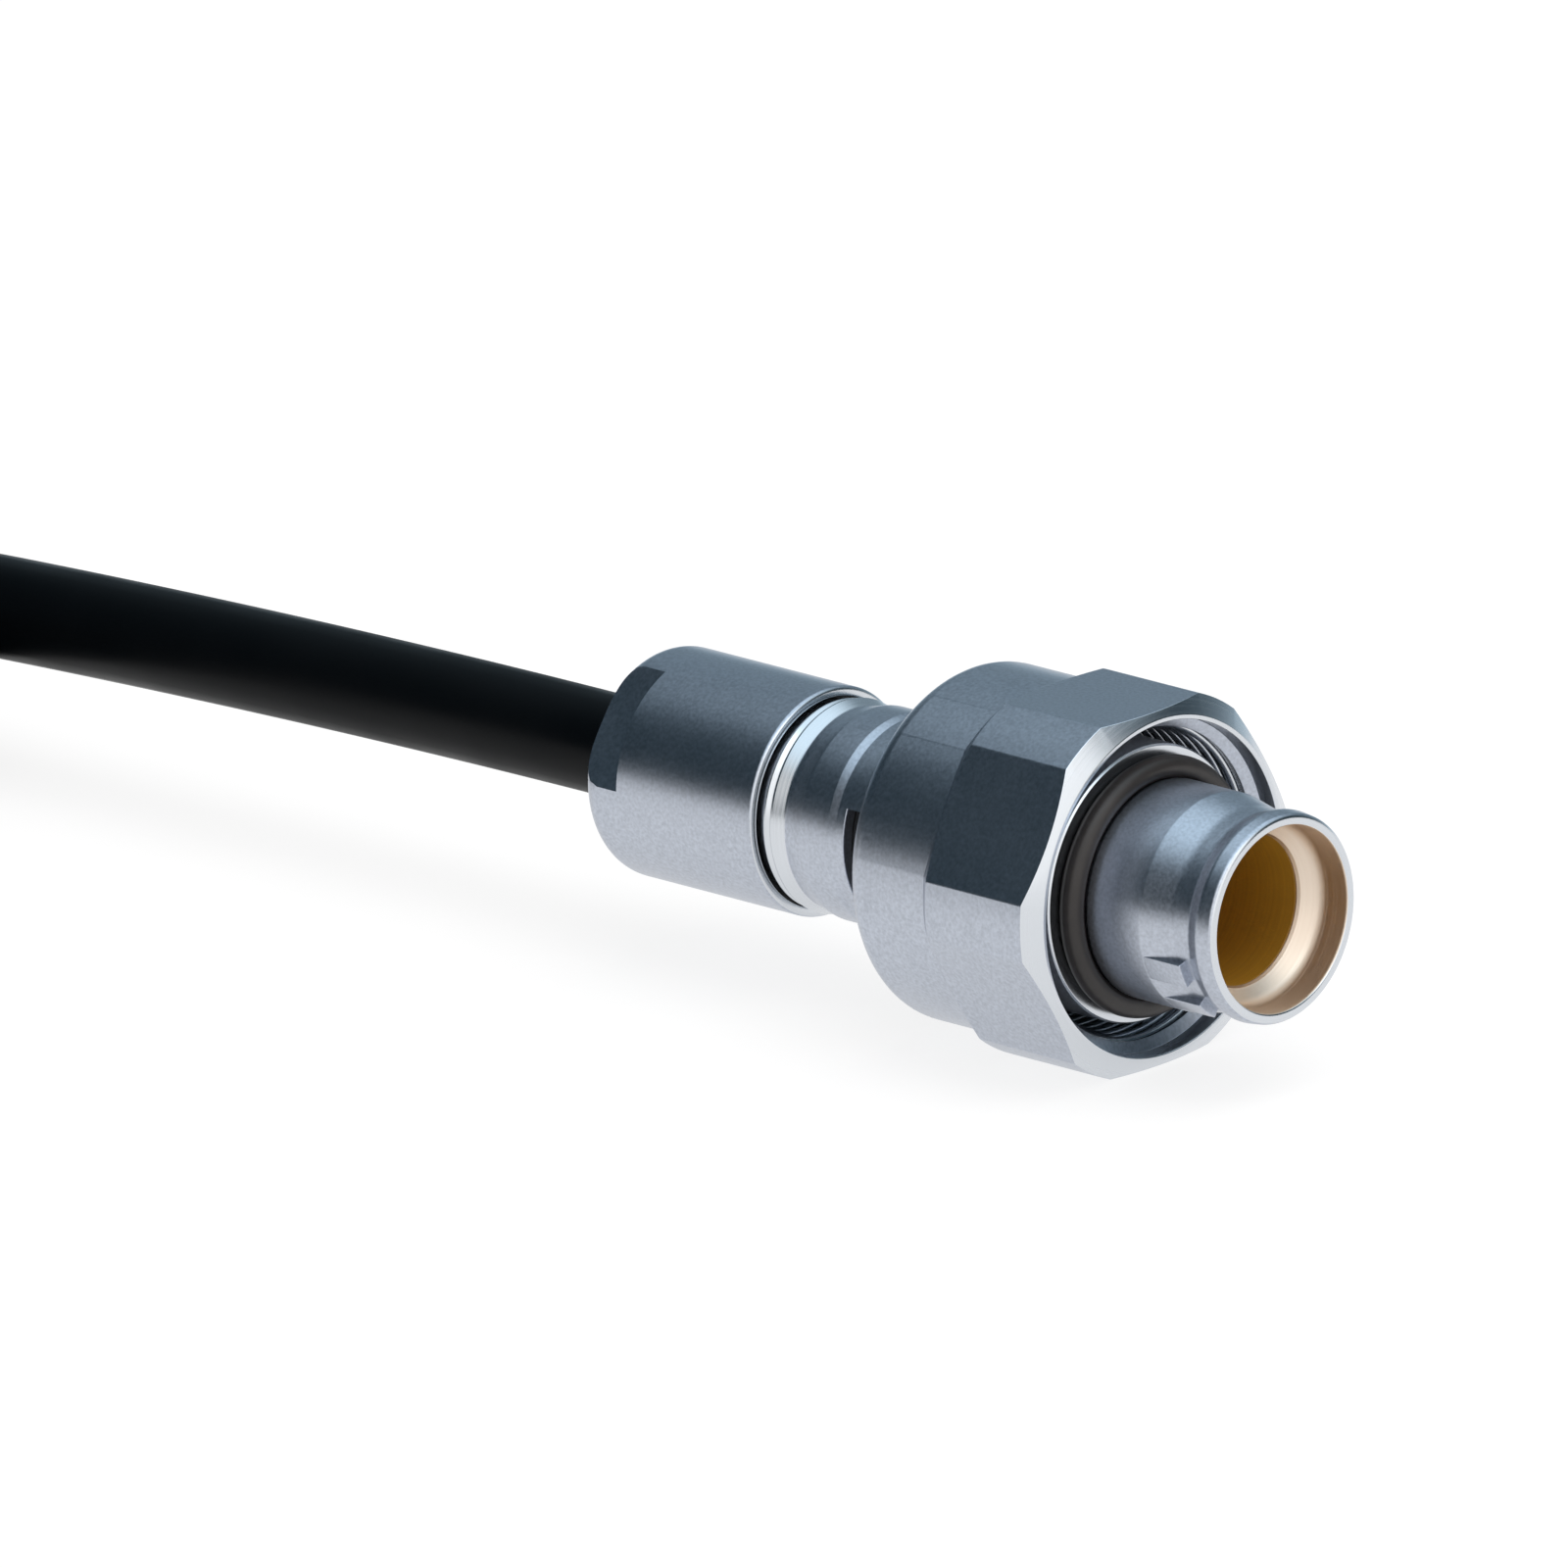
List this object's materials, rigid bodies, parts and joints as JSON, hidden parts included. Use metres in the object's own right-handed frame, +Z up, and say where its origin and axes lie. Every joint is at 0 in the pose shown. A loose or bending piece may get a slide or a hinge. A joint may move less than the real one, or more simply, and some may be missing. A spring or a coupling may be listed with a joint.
{
  "type": "waterproof cable plug",
  "caption": "Straight waterproof cable plug: keyed metal nose with a face seal, free-turning hex coupling nut, clamped round cable and a tied length of lead.",
  "frame": {"origin": "centre of the nose's front edge, on the plug's axis", "axes": "+X along the plug's axis, out of the nose; +Z up, with one flat of the coupling nut facing down"},
  "size_m": [0.2245, 0.0576, 0.02],
  "materials": {
    "satin_nickel": "satin nickel-chrome plated brass, bead-blasted before plating",
    "seal_rubber": "moulded black-brown fluoroelastomer, slight sheen",
    "insulator": "machined amber high-temperature polymer",
    "gold_contact": "gold-plated brass, polished",
    "inner_metal": "turned nickel-plated brass",
    "cable_jacket": "extruded black polyurethane, smooth semi-matt",
    "tie_strap": "black hook-and-loop strap",
    "wire_insulation": "extruded wire insulation"
  },
  "bodies": {
    "shell": {"plug_shell": "satin_nickel", "face_seal": "seal_rubber", "cup_insulator": "insulator", "rear_insulator": "insulator", "contact_1": "gold_contact", "contact_2": "gold_contact", "contact_3": "gold_contact", "contact_4": "gold_contact", "conductor_1": "wire_insulation", "conductor_2": "wire_insulation", "conductor_3": "wire_insulation", "conductor_4": "wire_insulation", "carrier_half_upper": "inner_metal", "carrier_half_lower": "inner_metal", "rear_body": "satin_nickel", "rear_seal": "seal_rubber", "clamp_collet": "inner_metal", "thrust_washer": "inner_metal", "gland_seal": "seal_rubber", "backnut": "satin_nickel", "cable_lead": "cable_jacket", "cable_hank": "cable_jacket", "hank_tie_near": "tie_strap", "hank_tie_far": "tie_strap", "lead_wires": "wire_insulation"},
    "nut": {"coupling_nut": "satin_nickel"}
  },
  "joints": [
    {"name": "nut_spin", "type": "hinge", "parent": "shell", "child": "nut", "pos_m": [-0.02085, 0, 0], "axis": [1, 0, 0], "continuous": true}
  ]
}
